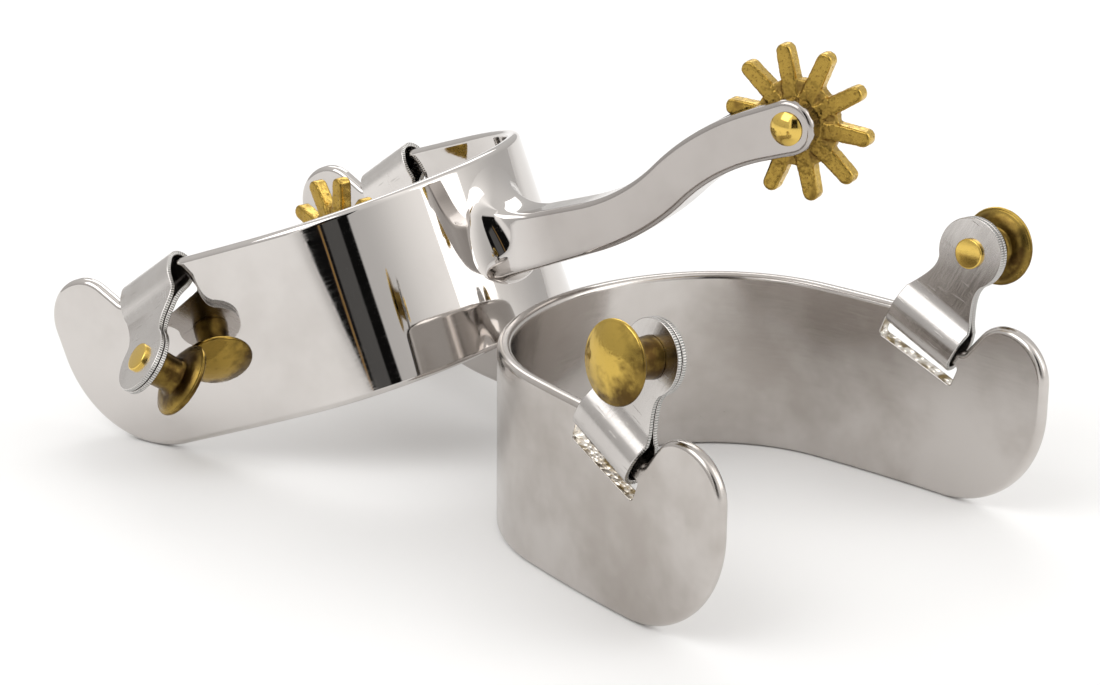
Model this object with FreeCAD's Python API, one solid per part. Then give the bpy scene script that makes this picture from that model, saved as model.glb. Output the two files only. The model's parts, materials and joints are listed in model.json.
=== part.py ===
import FreeCAD, Part
import math
import os

from FreeCAD import Matrix, Placement, Rotation, Vector

# A pair of western boot spurs, millimetres, +Z up.
#
# One spur (the lower one) stands on the bottom edge of its heel band. The other (the upper one)
# is turned the other way and leans on it: its heel lies over the lower spur's shank root, and
# its toe ends reach down to the ground.
#
# Each spur is drawn once in its own frame: X from the heel towards the toe, Z up, Y to the
# wearer's left, with x = 0 on the outside of the heel and z = 0 on the band's bottom edge.
# The row's origin is the middle of the lower heel band's bottom edge.

# ---------------------------------------------------------------- driving dimensions

BAND_HEIGHT = 38.5          # 1 1/2 inch band
BAND_THICK = 3.0
BAND_LENGTH = 88.0          # outside of the heel to the toe ends
HEEL_RADIUS = 48.3          # outside of the band, in plan
HEEL_TURN = 31.6            # degrees each side of the middle
CORNER_RADIUS = 37.4
CORNER_TURN = 48.9
BRANCH_RADIUS = 333.0       # the branches are almost straight
EDGE_ROUND = 0.9

TOE_HEIGHT = 39.7           # top of the toe's lobe
TOE_LOW_RADIUS = 24.0       # sweep from the bottom edge up to the toe
TOE_TOP_RADIUS = 10.0
LOBE_RADIUS = 7.5           # shoulder of the lobe, over the notch
LOBE_SLOPE = 51.5           # degrees, the lobe's flank above the notch
NOTCH_RADIUS = 1.5
CREST_RADIUS = 8.0          # soft corner where the top edge meets the bar

SLOT_LENGTH = 19.2
SLOT_HEIGHT = 4.7
SLOT_TILT = 21.4            # degrees, down towards the toe
SLOT_X = 57.2
SLOT_Z = 30.0
SLOT_CORNER = 0.6
BAR_HEIGHT = 3.2            # bar above the slot that the hanger folds round
NOTCH_END = 9.2             # toe end of the bar, measured along it from its middle

SHANK_ROOT_Z = 18.9         # middle of the shank where it leaves the heel
SHANK_TIP_Z = 29.4          # middle of the shank at the rowel pin
PIN_X = -75.5
RISE_START = -22.0          # the shank's S-bend starts here and ends at RISE_END
RISE_END = -68.0
SHANK_HALF_ROOT = 5.9       # half heights of the shank
SHANK_HALF_MID = 4.9
SHANK_HALF_TIP = 5.6
SHANK_HALF_WIDTH = 4.8      # half widths of the shank
FORK_HALF_WIDTH = 5.8
FORK_START = -56.0          # the shank has widened to the fork from here on
SHANK_ROUND = 0.9
# The root's hollow flare: x, and how far it stands off the shank's own outline there.
ROOT_RISE = ((3.0, 10.5), (-2.2, 3.0))
ROOT_DROP = ((3.0, 4.5), (-2.6, 1.2))
ROOT_SPREAD = ((3.0, 7.7), (-1.2, 1.9), (-6.6, 0.25))
SHANK_START = -9.0          # the plain shank begins here, past the flare
SHANK_STEPS = 9

ROWEL_RADIUS = 15.8         # 1 1/4 inch rowel
ROWEL_TEETH = 10
TOOTH_HALF_WIDTH = 1.45
TOOTH_TAPER = 1.25          # width at the middle of the rowel over width at the tip
TOOTH_HALF_THICK = 2.0
HUB_RADIUS = 5.6
HUB_HALF_THICK = 2.2
WEB_RADIUS = 8.8
WEB_HALF_THICK = 1.3
ROWEL_ROUND = 0.5
FORK_GAP_HALF = 2.5
FORK_GAP_CLEAR = 0.9

PIN_RADIUS = 2.0
RUN_CLEAR = 0.05            # rowel bore over the pin
SEAT_CLEAR = 0.02           # fixed pins in their holes
PIN_HEAD_RADIUS = 3.4
PIN_HEAD_HEIGHT = 1.7

LEAF_THICK = 1.0            # hanger strap
LEAF_GAP = 0.2              # between the two leaves where they lie together
HANGER_WIDTH = 17.0
HANGER_SHOULDER = 6.0       # the sides stay parallel up to here
WAIST_DRAW = 1.6            # the shoulder turns in this much
WAIST_EASE = 3.6            # over this height
HANGER_NECK = 13.1          # pull of the waist: height and half width
HANGER_NECK_HALF = 4.5
HANGER_REACH = 20.3         # bar to rivet
HANGER_DISC = 7.3
DISC_START = -38.0          # degrees, where the round end leaves the waist
STRAP_TOP = HANGER_REACH + HANGER_DISC + 2
LOOP_INNER = 2.4            # inside radius of the fold
LOOP_STRAIGHT = 1.2         # the leaves run parallel past the fold for this far
LOOP_CLOSED = 8.6           # from here on the leaves lie together
LOOP_EASE = 0.45            # softness of the two bends between
HANGER_SHIFT = -0.45        # the fold sits this far towards the heel on its bar

BUTTON_RADIUS = 8.0         # 5/8 inch strap button
BUTTON_NECK_RADIUS = 4.1
BUTTON_NECK = 6.6
BUTTON_WAIST = 0.9          # the neck's slight waist, just under the dish
BUTTON_WAIST_CUT = 0.35
BUTTON_DISH = 1.4           # hollow under the rim
BUTTON_DISH_SAG = 0.35
BUTTON_RIM = 1.0
BUTTON_LIP = 0.5            # bulge of the rounded rim
BUTTON_DOME = 1.6
RIVET_RADIUS = 1.6
RIVET_HEAD_RADIUS = 3.1
RIVET_HEAD_HEIGHT = 0.8
RIVET_HEAD_ROUND = 0.35
RIVET_DEPTH = 4.0           # its hole in the button's neck
RIVET_SHORT = 0.2           # the stem stops this far from the end of the hole

# Resting angle of each hanger about its bar (0 upright, positive outwards), how far it is
# skewed on the bar towards the toe, and how far it hangs off the bar.
HANGERS = {
    "lower_left": (6.0, 3.0, 0.1),
    "lower_right": (-7.0, 3.0, 0.1),
    "upper_left": (129.0, 7.5, 1.2),
    "upper_right": (-152.0, 6.0, 1.0),
}

ROWEL_PHASE = {"lower": 91.2, "upper": 82.4}

# Placing of the upper spur in the lower spur's frame.
UPPER_YAW = 195.5
UPPER_PITCH = 21.01
UPPER_ROLL = -1.46
UPPER_HEEL = Vector(-13.16, 2.84, 25.65)

REACH = 120.0               # larger than either spur


# ---------------------------------------------------------------- plan of the band

def plan_point(turn, inset):
    """Point of the band's plan at a heading, inset from the outside surface, left branch."""
    first = math.radians(HEEL_TURN)
    second = math.radians(HEEL_TURN + CORNER_TURN)
    angle = math.radians(turn)
    if turn <= HEEL_TURN:
        centre, radius = Vector(HEEL_RADIUS, 0, 0), HEEL_RADIUS
    else:
        shift = HEEL_RADIUS - CORNER_RADIUS
        centre = Vector(HEEL_RADIUS - shift * math.cos(first), shift * math.sin(first), 0)
        radius = CORNER_RADIUS
        if turn > HEEL_TURN + CORNER_TURN:
            shift = BRANCH_RADIUS - CORNER_RADIUS
            centre = centre + Vector(shift * math.cos(second), -shift * math.sin(second), 0)
            radius = BRANCH_RADIUS
    size = radius - inset
    return centre + Vector(-size * math.cos(angle), size * math.sin(angle), 0)


def branch_turn(x, inset=0.0):
    """Heading at which the branch reaches a given x."""
    low, high = HEEL_TURN + CORNER_TURN, 92.0
    for _ in range(40):
        middle = (low + high) / 2
        if plan_point(middle, inset).x < x:
            low = middle
        else:
            high = middle
    return low


def mirrored(point):
    return Vector(point.x, -point.y, point.z)


def plan_arc(start, end, inset, flip=False):
    points = [plan_point(turn, inset) for turn in (start, (start + end) / 2, end)]
    if flip:
        points = [mirrored(point) for point in points]
    return Part.Arc(*points).toShape()


def plan_curve(inset, last):
    """The whole U at one inset, from one end to the other."""
    middle = HEEL_TURN + CORNER_TURN
    heel = Part.Arc(mirrored(plan_point(HEEL_TURN, inset)), plan_point(0, inset),
                    plan_point(HEEL_TURN, inset)).toShape()
    edges = [heel]
    for flip in (False, True):
        edges.append(plan_arc(HEEL_TURN, middle, inset, flip))
        edges.append(plan_arc(middle, last, inset, flip))
    return edges


def upright(edges, bottom, height):
    """Solid on a closed set of edges in the XY plane."""
    wire = Part.Wire(Part.sortEdges(edges)[0])
    face = Part.Face(wire)
    face.translate(Vector(0, 0, bottom))
    return face.extrude(Vector(0, 0, height))


def band_wall():
    last = branch_turn(BAND_LENGTH + 3)
    edges = plan_curve(0, last) + plan_curve(BAND_THICK, last)
    for flip in (False, True):
        ends = [plan_point(last, inset) for inset in (0, BAND_THICK)]
        if flip:
            ends = [mirrored(point) for point in ends]
        edges.append(Part.LineSegment(*ends).toShape())
    return upright(edges, -1, TOE_HEIGHT + 5)


# ---------------------------------------------------------------- the slotted branch ends

def slot_frame():
    """Middle of the bar and its two directions, seen from the side (in the XZ plane)."""
    tilt = math.radians(SLOT_TILT)
    along = Vector(math.cos(tilt), 0, -math.sin(tilt))
    across = Vector(math.sin(tilt), 0, math.cos(tilt))
    bar = Vector(SLOT_X, 0, SLOT_Z) + across * (SLOT_HEIGHT + BAR_HEIGHT) / 2
    return bar, along, across


def branch_corners():
    """Side outline of the band as corner points, each with the radius that rounds it."""
    bar, along, across = slot_frame()
    edge = bar + across * (BAR_HEIGHT / 2)
    crest = edge + along * ((edge.z - BAND_HEIGHT) / math.sin(math.radians(SLOT_TILT)))
    notch = edge + along * NOTCH_END
    climb = TOE_HEIGHT - notch.z
    shoulder = Vector(notch.x + climb / math.tan(math.radians(LOBE_SLOPE)), 0, TOE_HEIGHT)
    return [
        (Vector(-2, 0, 0), 0),
        (Vector(BAND_LENGTH, 0, 0), TOE_LOW_RADIUS),
        (Vector(BAND_LENGTH, 0, TOE_HEIGHT), TOE_TOP_RADIUS),
        (shoulder, LOBE_RADIUS),
        (notch, NOTCH_RADIUS),
        (crest, CREST_RADIUS),
        (Vector(-2, 0, BAND_HEIGHT), 0),
    ]


def side_block():
    """The side outline run right across both branches, with its corners rounded."""
    corners = branch_corners()
    points = [point for point, _ in corners]
    face = Part.Face(Part.makePolygon(points + points[:1]))
    face.translate(Vector(0, -REACH, 0))
    block = face.extrude(Vector(0, 2 * REACH, 0))
    for point, radius in corners:
        if radius:
            block = block.makeFillet(radius, [nearest_edge(block, point)])
    return block


def nearest_edge(block, point):
    """The edge across the spur that passes through a corner point."""
    return min((edge for edge in block.Edges if edge.BoundBox.YLength > REACH),
               key=lambda edge: math.hypot(edge.CenterOfMass.x - point.x, edge.CenterOfMass.z - point.z))


def hanger_slot():
    """Rounded rectangular slot under the bar, through both branches."""
    bar, along, across = slot_frame()
    centre = bar - across * (SLOT_HEIGHT + BAR_HEIGHT) / 2
    tool = Part.makeBox(SLOT_LENGTH, 2 * REACH, SLOT_HEIGHT,
                        Vector(-SLOT_LENGTH / 2, -REACH, -SLOT_HEIGHT / 2))
    corners = [edge for edge in tool.Edges if edge.Length > REACH]
    tool = tool.makeFillet(SLOT_CORNER, corners)
    tool.Placement = Placement(centre, Rotation(Vector(0, 1, 0), SLOT_TILT))
    return tool


def heel_band():
    """Bent and slotted band with every long rim rounded."""
    band = band_wall().common(side_block()).cut(hanger_slot()).Solids[0]
    rims = [edge for edge in band.Edges if not (is_seam(edge) or is_across(edge))]
    return band.makeFillet(EDGE_ROUND, rims).Solids[0]


def is_seam(edge):
    """True for the upright lines where two arcs of the plan meet."""
    return edge.BoundBox.XLength < 0.01 and edge.BoundBox.YLength < 0.01


def is_across(edge):
    """True for the short straight edges that run through the band's thickness."""
    ends = [vertex.Point for vertex in edge.Vertexes]
    if len(ends) < 2:
        return False
    run = ends[1] - ends[0]
    return abs(run.z) < 0.2 and abs(run.y) > 0.9 * BAND_THICK and run.Length < 1.2 * BAND_THICK


# ---------------------------------------------------------------- shank

def shank_centre(x):
    """Height of the shank's middle line at x: level, an S-bend of two equal arcs, level."""
    run = RISE_START - RISE_END
    rise = SHANK_TIP_Z - SHANK_ROOT_Z
    half_turn = math.atan2(rise, run)
    radius = run / (2 * math.sin(2 * half_turn))
    if x >= RISE_START:
        return SHANK_ROOT_Z
    if x <= RISE_END:
        return SHANK_ROOT_Z + rise
    if x > (RISE_START + RISE_END) / 2:
        return SHANK_ROOT_Z + radius - math.sqrt(radius ** 2 - (RISE_START - x) ** 2)
    return SHANK_ROOT_Z + rise - radius + math.sqrt(radius ** 2 - (x - RISE_END) ** 2)


def shank_half_height(x):
    middle = (RISE_START + RISE_END) / 2
    far = PIN_X if x < middle else SHANK_START
    end = SHANK_HALF_TIP if x < middle else SHANK_HALF_ROOT
    share = min(1.0, abs((x - middle) / (far - middle)))
    return SHANK_HALF_MID + (end - SHANK_HALF_MID) * share ** 2


def shank_edge_point(x, side):
    """Point on the shank's top (side 1) or bottom (side -1) edge, square to its middle line."""
    slope = shank_centre(x + 0.5) - shank_centre(x - 0.5)
    length = math.hypot(1, slope)
    half = shank_half_height(x)
    return Vector(x - side * half * slope / length, 0, shank_centre(x) + side * half / length)


def smooth_curve(points):
    curve = Part.BSplineCurve()
    curve.interpolate(points)
    return curve.toShape()


def shank_side():
    """Side outline of the shank with its flared root."""
    step = (PIN_X - SHANK_START) / SHANK_STEPS
    edges = []
    ends = []
    for side, flare in ((1, ROOT_RISE), (-1, ROOT_DROP)):
        line = [Vector(x, 0, SHANK_ROOT_Z + side * (SHANK_HALF_ROOT + grow)) for x, grow in flare]
        for index in range(SHANK_STEPS + 1):
            line.append(shank_edge_point(SHANK_START + index * step, side))
        edges.append(smooth_curve(line))
        ends.append((line[0], line[-1]))
    (root_top, tip_top), (root_low, tip_low) = ends
    nose = Vector(PIN_X - SHANK_HALF_TIP, 0, SHANK_TIP_Z)
    edges.append(Part.Arc(tip_top, nose, tip_low).toShape())
    edges.append(Part.LineSegment(root_top, root_low).toShape())
    return edges


def shank_plan():
    """Plan outline of the shank: hollow flare at the root, slim middle, wider fork."""
    half_widths = [(x, SHANK_HALF_WIDTH + grow) for x, grow in ROOT_SPREAD]
    half_widths.append(((SHANK_START + FORK_START) / 2, SHANK_HALF_WIDTH))
    fork = (FORK_START, FORK_START + (PIN_X - FORK_START) / 2, PIN_X, PIN_X - 2 * SHANK_HALF_TIP)
    half_widths += [(x, FORK_HALF_WIDTH) for x in fork]
    edges = []
    for sign in (1, -1):
        edges.append(smooth_curve([Vector(x, sign * half, 0) for x, half in half_widths]))
    for x, half in (half_widths[0], half_widths[-1]):
        edges.append(Part.LineSegment(Vector(x, half, 0), Vector(x, -half, 0)).toShape())
    return edges


def disc(radius, half, x, z):
    """Cylinder across the spur, centred on its middle plane."""
    return Part.makeCylinder(radius, 2 * half, Vector(x, -half, z), Vector(0, 1, 0))


def shank():
    side = Part.Face(Part.Wire(Part.sortEdges(shank_side())[0]))
    side.translate(Vector(0, -REACH, 0))
    body = side.extrude(Vector(0, 2 * REACH, 0)).common(upright(shank_plan(), 0, REACH))
    body = body.Solids[0]
    long_edges = [edge for edge in body.Edges if edge.Length > abs(PIN_X) / 3]
    body = body.makeFillet(SHANK_ROUND, long_edges)
    body = body.cut(Part.makeCylinder(HEEL_RADIUS, REACH, Vector(HEEL_RADIUS, 0, 0), Vector(0, 0, 1)))
    body = body.cut(disc(ROWEL_RADIUS + FORK_GAP_CLEAR, FORK_GAP_HALF, PIN_X, SHANK_TIP_Z))
    body = body.cut(disc(PIN_RADIUS + SEAT_CLEAR, REACH, PIN_X, SHANK_TIP_Z))
    return max(body.Solids, key=lambda solid: solid.Volume)


# ---------------------------------------------------------------- rowel and its pin

def tooth():
    """One blunt tooth pointing along +X from the rowel's middle."""
    reach = ROWEL_RADIUS - TOOTH_HALF_WIDTH
    root = TOOTH_HALF_WIDTH * TOOTH_TAPER
    left_root, right_root = Vector(0, root, 0), Vector(0, -root, 0)
    left_tip, right_tip = Vector(reach, TOOTH_HALF_WIDTH, 0), Vector(reach, -TOOTH_HALF_WIDTH, 0)
    edges = [
        Part.LineSegment(right_root, right_tip).toShape(),
        Part.Arc(right_tip, Vector(ROWEL_RADIUS, 0, 0), left_tip).toShape(),
        Part.LineSegment(left_tip, left_root).toShape(),
        Part.LineSegment(left_root, right_root).toShape(),
    ]
    solid = upright(edges, -TOOTH_HALF_THICK, 2 * TOOTH_HALF_THICK)
    rims = [edge for edge in solid.Edges
            if edge.BoundBox.ZLength < 0.01 and edge.BoundBox.XMax > 1.0]
    return solid.makeFillet(ROWEL_ROUND, rims)


def rowel(phase):
    web = Part.makeCylinder(WEB_RADIUS, 2 * WEB_HALF_THICK, Vector(0, 0, -WEB_HALF_THICK))
    hub = Part.makeCylinder(HUB_RADIUS, 2 * HUB_HALF_THICK, Vector(0, 0, -HUB_HALF_THICK))
    body = web.fuse(hub)
    for index in range(ROWEL_TEETH):
        spoke = tooth()
        spoke.rotate(Vector(0, 0, 0), Vector(0, 0, 1), index * 360 / ROWEL_TEETH)
        body = body.fuse(spoke)
    body = body.removeSplitter()
    bore = Part.makeCylinder(PIN_RADIUS + RUN_CLEAR, 2 * REACH, Vector(0, 0, -REACH))
    body = body.cut(bore).Solids[0]
    body.rotate(Vector(0, 0, 0), Vector(0, 0, 1), 180 - phase)
    body.rotate(Vector(0, 0, 0), Vector(1, 0, 0), 90)
    body.translate(Vector(PIN_X, 0, SHANK_TIP_Z))
    return body


def domed_head(radius, height):
    """Spherical cap on the XY plane, bulging along +Z."""
    ball = (radius ** 2 + height ** 2) / (2 * height)
    cap = Part.makeSphere(ball, Vector(0, 0, height - ball))
    keep = Part.makeCylinder(radius + 1, height + 1, Vector(0, 0, 0))
    return cap.common(keep)


def rowel_pin():
    body = disc(PIN_RADIUS, FORK_HALF_WIDTH + 0.05, PIN_X, SHANK_TIP_Z)
    for sign in (1, -1):
        head = domed_head(PIN_HEAD_RADIUS, PIN_HEAD_HEIGHT)
        head.rotate(Vector(0, 0, 0), Vector(1, 0, 0), -90 * sign)
        head.translate(Vector(PIN_X, sign * (FORK_HALF_WIDTH + SEAT_CLEAR), SHANK_TIP_Z))
        body = body.fuse(head)
    return body.removeSplitter().Solids[0]


# ---------------------------------------------------------------- hanger, button and rivet
# Drawn round the bar: the bar's middle line is the Y axis here, the strap reaches along +Z,
# and the button stands out along +X.

def strap_side(inset, sign):
    """One leaf's skin at an inset: parallel past the fold, drawn together, then straight."""
    wide = sign * (LOOP_INNER + LEAF_THICK - inset)
    close = sign * (LEAF_GAP / 2 + LEAF_THICK - inset)
    start = Vector(wide, 0, LOOP_STRAIGHT)
    end = Vector(close, 0, LOOP_CLOSED)
    ease = Vector(0, 0, (LOOP_CLOSED - LOOP_STRAIGHT) * LOOP_EASE)
    bend = Part.BezierCurve()
    bend.setPoles([start, start + ease, end - ease, end])
    return [
        Part.LineSegment(Vector(wide, 0, 0), start).toShape(),
        bend.toShape(),
        Part.LineSegment(end, Vector(close, 0, STRAP_TOP)).toShape(),
    ]


def strap_profile():
    """Closed section of the strap: outer skin, inner skin and the open ends."""
    edges = []
    for inset in (0.0, LEAF_THICK):
        wide = LOOP_INNER + LEAF_THICK - inset
        edges.append(Part.Arc(Vector(wide, 0, 0), Vector(0, 0, -wide), Vector(-wide, 0, 0)).toShape())
        edges += strap_side(inset, 1) + strap_side(inset, -1)
    for sign in (1, -1):
        inner = Vector(sign * LEAF_GAP / 2, 0, STRAP_TOP)
        edges.append(Part.LineSegment(inner, inner + Vector(sign * LEAF_THICK, 0, 0)).toShape())
    return edges


def strap_outline():
    """Face view of the hanger in YZ: square fold, shoulders, waist and round end."""
    half = HANGER_WIDTH / 2
    low = -2 * (LOOP_INNER + LEAF_THICK)
    turn = math.radians(DISC_START)
    top = Vector(0, 0, HANGER_REACH + HANGER_DISC)
    edges = [Part.LineSegment(Vector(0, -half, low), Vector(0, half, low)).toShape()]
    for sign in (1, -1):
        shoulder = Vector(0, sign * half, HANGER_SHOULDER)
        flare = Vector(0, sign * (half - WAIST_DRAW), HANGER_SHOULDER + WAIST_EASE)
        neck = Vector(0, sign * HANGER_NECK_HALF, HANGER_NECK)
        start = Vector(0, sign * HANGER_DISC * math.cos(turn), HANGER_REACH + HANGER_DISC * math.sin(turn))
        side = Vector(0, sign * HANGER_DISC, HANGER_REACH)
        waist = Part.BezierCurve()
        waist.setPoles([shoulder, flare, neck, start])
        edges.append(Part.LineSegment(Vector(0, sign * half, low), shoulder).toShape())
        edges.append(waist.toShape())
        edges.append(Part.Arc(start, side, top).toShape())
    return edges


def hanger():
    """Strip folded round the bar, cut to its outline, with the rivet hole through both leaves."""
    section = Part.Face(Part.Wire(Part.sortEdges(strap_profile())[0]))
    section.translate(Vector(0, -REACH, 0))
    strap = section.extrude(Vector(0, 2 * REACH, 0))
    face = Part.Face(Part.Wire(Part.sortEdges(strap_outline())[0]))
    face.translate(Vector(-REACH, 0, 0))
    body = strap.common(face.extrude(Vector(2 * REACH, 0, 0)))
    hole = Part.makeCylinder(RIVET_RADIUS + SEAT_CLEAR, 2 * REACH, Vector(-REACH, 0, HANGER_REACH),
                             Vector(1, 0, 0))
    return body.cut(hole).Solids[0]


def sagged_arc(start, end, sag):
    """Arc between two points whose middle stands off the chord by sag, to the chord's left."""
    chord = end - start
    aside = Vector(-chord.z, 0, chord.x)
    aside.normalize()
    return Part.Arc(start, (start + end) / 2 + aside * sag, end).toShape()


def dome_arc(rim, height):
    """Arc of a sphere from a rim point up to the axis (the X axis)."""
    ball = (rim.z ** 2 + height ** 2) / (2 * height)
    centre = rim.x + height - ball
    half = math.asin(rim.z / ball) / 2
    middle = Vector(centre + ball * math.cos(half), 0, ball * math.sin(half))
    return Part.Arc(rim, middle, Vector(rim.x + height, 0, 0)).toShape()


def button():
    """Turned strap button: round neck, dished underside, thin rim and low domed face."""
    seat = LEAF_GAP / 2 + LEAF_THICK
    under = seat + BUTTON_NECK
    rim = under + BUTTON_DISH
    face = rim + BUTTON_RIM
    base = Vector(seat, 0, BUTTON_NECK_RADIUS)
    waist = Vector(under - BUTTON_WAIST, 0, BUTTON_NECK_RADIUS - BUTTON_WAIST_CUT)
    dish = Vector(under, 0, BUTTON_NECK_RADIUS + BUTTON_WAIST_CUT)
    rim_low = Vector(rim, 0, BUTTON_RADIUS - BUTTON_LIP)
    rim_high = Vector(face, 0, BUTTON_RADIUS - BUTTON_LIP)
    crown = Vector(face + BUTTON_DOME, 0, 0)
    start = Vector(seat, 0, 0)
    edges = [
        Part.LineSegment(start, base).toShape(),
        Part.LineSegment(base, waist).toShape(),
        Part.LineSegment(waist, dish).toShape(),
        sagged_arc(dish, rim_low, BUTTON_DISH_SAG),
        sagged_arc(rim_low, rim_high, BUTTON_LIP),
        dome_arc(rim_high, BUTTON_DOME),
        Part.LineSegment(crown, start).toShape(),
    ]
    section = Part.Face(Part.Wire(Part.sortEdges(edges)[0]))
    body = section.revolve(Vector(0, 0, 0), Vector(1, 0, 0), 360)
    hole = Part.makeCylinder(RIVET_RADIUS + SEAT_CLEAR, seat + RIVET_DEPTH, Vector(0, 0, 0),
                             Vector(1, 0, 0))
    body = body.cut(hole).Solids[0]
    body.translate(Vector(0, 0, HANGER_REACH))
    return body


def rivet():
    """Flat-headed rivet up through the strap into the button's neck."""
    seat = LEAF_GAP / 2 + LEAF_THICK
    length = 2 * seat + RIVET_DEPTH - RIVET_SHORT
    across = Vector(1, 0, 0)
    stem = Part.makeCylinder(RIVET_RADIUS, length, Vector(-seat, 0, 0), across)
    outer = -seat - RIVET_HEAD_HEIGHT
    head = Part.makeCylinder(RIVET_HEAD_RADIUS, RIVET_HEAD_HEIGHT, Vector(outer, 0, 0), across)
    rim = [edge for edge in head.Edges if edge.BoundBox.XMax < outer + RIVET_HEAD_HEIGHT / 2]
    body = head.makeFillet(RIVET_HEAD_ROUND, rim).fuse(stem).removeSplitter().Solids[0]
    body.translate(Vector(0, 0, HANGER_REACH))
    return body


def bar_middle(side):
    """Middle of the bar on one branch (side 1 left, -1 right), and the branch's heading there."""
    bar, _, _ = slot_frame()
    turn = branch_turn(bar.x, BAND_THICK / 2)
    point = plan_point(turn, BAND_THICK / 2)
    return Vector(bar.x, side * point.y, bar.z), 90 - turn


def hanger_placement(side, swing, skew, drop):
    """Carries the strap's own frame (+X outwards, +Y along the bar, +Z up) onto its bar."""
    centre, heading = bar_middle(side)
    own = Placement(Vector(0, HANGER_SHIFT * side * -1, -drop), Rotation())
    skewed = Placement(Vector(), Rotation(Vector(1, 0, 0), side * skew))
    swung = Placement(Vector(), Rotation(Vector(0, 1, 0), swing))
    spin = Placement(Vector(), Rotation(Vector(0, 0, 1), 90 * side))
    tilted = Placement(Vector(), Rotation(Vector(0, 1, 0), SLOT_TILT))
    headed = Placement(centre, Rotation(Vector(0, 0, 1), side * heading))
    return headed.multiply(tilted).multiply(spin).multiply(swung).multiply(skewed).multiply(own)


# ---------------------------------------------------------------- assembly

def spur_parts(name):
    parts = {
        name + "_heel_band": heel_band(),
        name + "_shank": shank(),
        name + "_rowel": rowel(ROWEL_PHASE[name]),
        name + "_rowel_pin": rowel_pin(),
    }
    for word, side in (("left", 1), ("right", -1)):
        key = name + "_" + word
        swing, skew, drop = HANGERS[key]
        place = hanger_placement(side, swing, skew, drop)
        for piece, make in (("hanger", hanger), ("button", button), ("rivet", rivet)):
            solid = make()
            solid.Placement = place.multiply(solid.Placement)
            parts[key + "_" + piece] = solid
    return parts


def spur_placement(name):
    origin = Placement(Vector(-BAND_THICK / 2, 0, 0), Rotation())
    if name == "lower":
        return origin
    return origin.multiply(Placement(UPPER_HEEL, Rotation(UPPER_YAW, UPPER_PITCH, UPPER_ROLL)))


def build():
    parts = {}
    for name in ("lower", "upper"):
        place = spur_placement(name)
        for node, solid in spur_parts(name).items():
            solid.Placement = place.multiply(solid.Placement)
            parts[node] = solid
    return parts


def main():
    os.makedirs("parts", exist_ok=True)
    for node, solid in build().items():
        if not solid.isValid() or solid.ShapeType != "Solid":
            raise ValueError(node + " is not one valid solid")
        solid.exportStep("parts/" + node + ".step")
        print(node, round(solid.Volume, 1))


main()
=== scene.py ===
import json
import math

import bpy
import numpy as np
from mathutils import Matrix, Vector, geometry, noise


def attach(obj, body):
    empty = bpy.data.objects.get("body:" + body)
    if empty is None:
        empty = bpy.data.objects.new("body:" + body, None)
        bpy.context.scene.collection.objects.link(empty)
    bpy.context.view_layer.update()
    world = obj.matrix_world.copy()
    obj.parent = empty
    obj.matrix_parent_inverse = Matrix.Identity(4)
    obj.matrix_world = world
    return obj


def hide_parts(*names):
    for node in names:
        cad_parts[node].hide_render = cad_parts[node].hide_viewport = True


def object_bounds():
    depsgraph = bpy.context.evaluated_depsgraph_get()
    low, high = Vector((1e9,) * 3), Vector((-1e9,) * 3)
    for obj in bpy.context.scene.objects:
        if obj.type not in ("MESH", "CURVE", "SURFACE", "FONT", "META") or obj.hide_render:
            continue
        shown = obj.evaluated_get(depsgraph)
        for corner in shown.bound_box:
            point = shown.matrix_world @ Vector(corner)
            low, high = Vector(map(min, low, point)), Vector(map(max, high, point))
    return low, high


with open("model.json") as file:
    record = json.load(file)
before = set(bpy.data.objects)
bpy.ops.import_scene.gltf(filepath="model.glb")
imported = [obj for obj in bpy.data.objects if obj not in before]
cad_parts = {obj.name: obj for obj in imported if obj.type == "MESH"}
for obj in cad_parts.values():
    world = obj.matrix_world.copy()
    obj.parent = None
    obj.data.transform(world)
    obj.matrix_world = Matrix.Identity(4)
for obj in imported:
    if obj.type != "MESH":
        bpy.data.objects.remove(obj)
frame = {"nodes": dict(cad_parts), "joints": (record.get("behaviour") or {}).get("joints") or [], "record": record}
cad_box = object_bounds()

MM = 0.001
SPURS = ("lower", "upper")

# ---------------- sizes, millimetres
# Each spur is drawn in its own frame, as the CAD does: x = 0 outside the heel, +X to the toes,
# z = 0 on the band's bottom edge, +Y to the left.

BAND_HEIGHT = 38.5
BAND_THICK = 3.0
BAND_LENGTH = 88.0
PLAN_RADII = (48.3, 37.4, 333.0)  # outside of the heel, the corners and the branches
PLAN_TURNS = (31.6, 48.9)  # degrees that the first two turn through
BAND_SPACING = 1.4  # mesh spacing of its faces, outline and slots
BAND_OUTLINE_STEP = 0.7
SLOT_OUTLINE_STEP = 0.5
EDGE_ROUND = 1.3
SLOT_EDGE_ROUND = 0.3
SLOT_ROUGHNESS = 0.16  # depth of the punched slots' torn walls

TOE_HEIGHT = 39.7
TOE_LOW_RADIUS = 24.0
TOE_TOP_RADIUS = 10.0
LOBE_RADIUS = 7.5
LOBE_SLOPE = 51.5
NOTCH_RADIUS = 1.5
CREST_RADIUS = 8.0
SLOT_LENGTH = 19.2
SLOT_HEIGHT = 4.7
SLOT_TILT = 21.4
SLOT_MIDDLE = (57.2, 30.0)
SLOT_CORNER = 0.8
BAR_HEIGHT = 3.2
NOTCH_END = 9.2

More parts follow.
